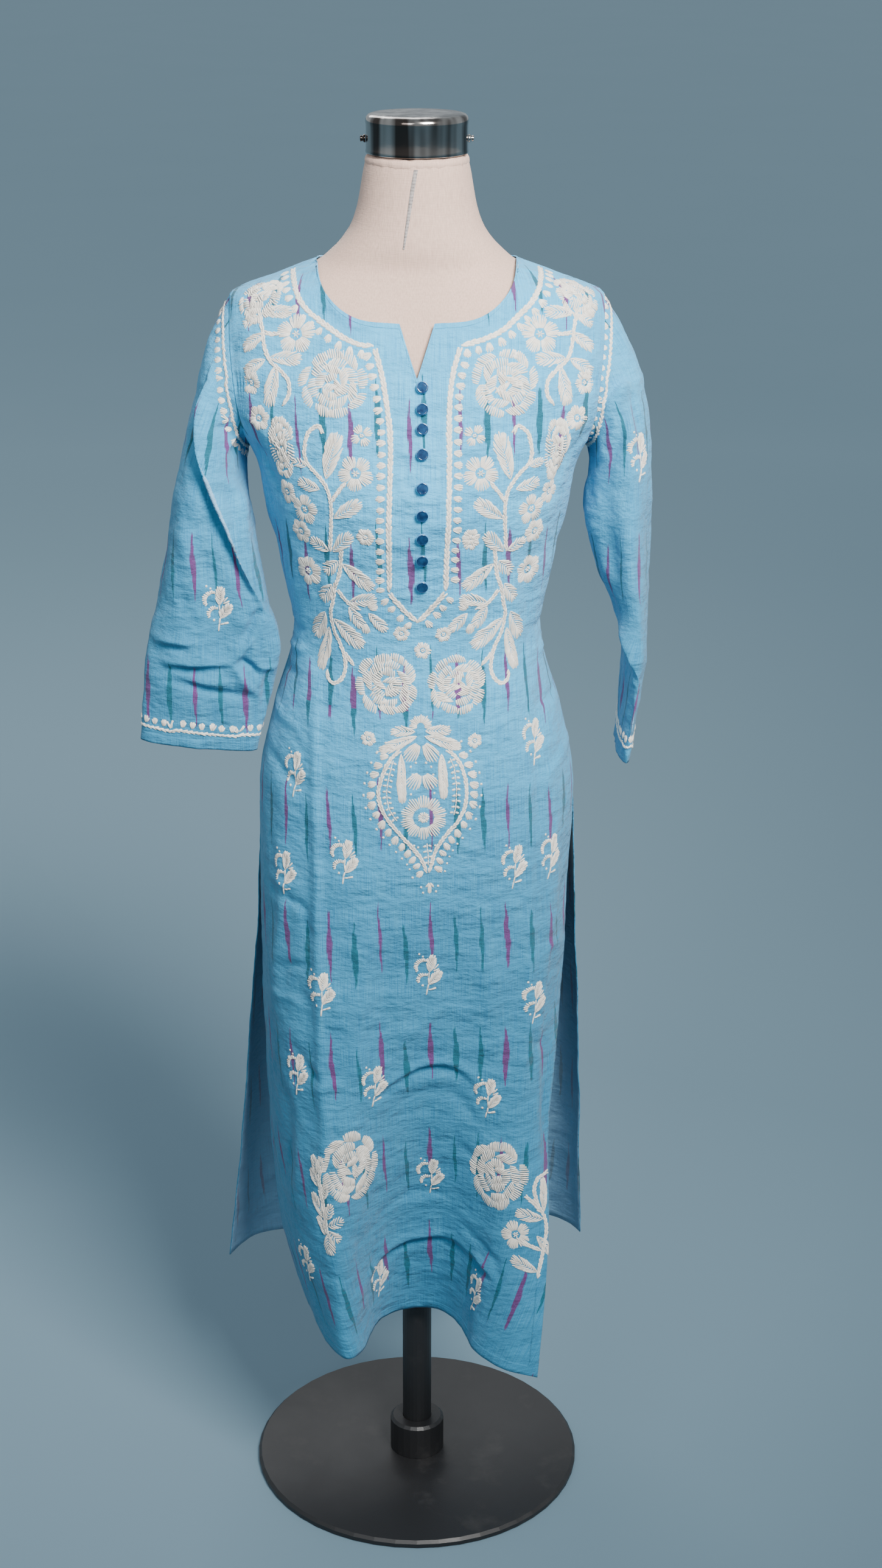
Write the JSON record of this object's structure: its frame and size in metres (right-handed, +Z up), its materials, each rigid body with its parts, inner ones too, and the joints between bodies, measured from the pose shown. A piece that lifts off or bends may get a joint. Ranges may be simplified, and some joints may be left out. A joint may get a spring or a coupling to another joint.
{
  "type": "kurti on a limbless dress form",
  "caption": "Knee-length kurti with three-quarter sleeves, V-notched scoop neck, buttoned placket and side slits, resting on a limbless dress form with a pole and round base.",
  "frame": {"origin": "centre of the base plate's underside, on the axis of the pole", "axes": "+Z up along the pole; the front of the kurti faces -Y; the wearer's right sleeve is at -X"},
  "size_m": [0.5099, 0.36, 1.486],
  "materials": {
    "cloth": "sky-blue slub cotton with plum and teal ikat dashes",
    "thread": "thick cream embroidery cotton with a soft sheen",
    "button": "glossy deep blue with a lighter rim",
    "form_cotton": "off-white cotton cover",
    "chrome": "polished",
    "black_metal": "satin black"
  },
  "bodies": {
    "root": {"kurti_front": "cloth", "kurti_back": "cloth", "sleeve_left": "cloth", "sleeve_right": "cloth", "button_1": "button", "button_2": "button", "button_3": "button", "button_4": "button", "button_5": "button", "button_6": "button", "button_7": "button", "button_8": "button", "button_9": "button", "form_torso": "form_cotton", "neck_cap": "chrome", "cap_screw_left": "chrome", "cap_screw_right": "chrome", "pole": "black_metal", "pole_collar": "black_metal", "base_plate": "black_metal"}
  },
  "joints": []
}
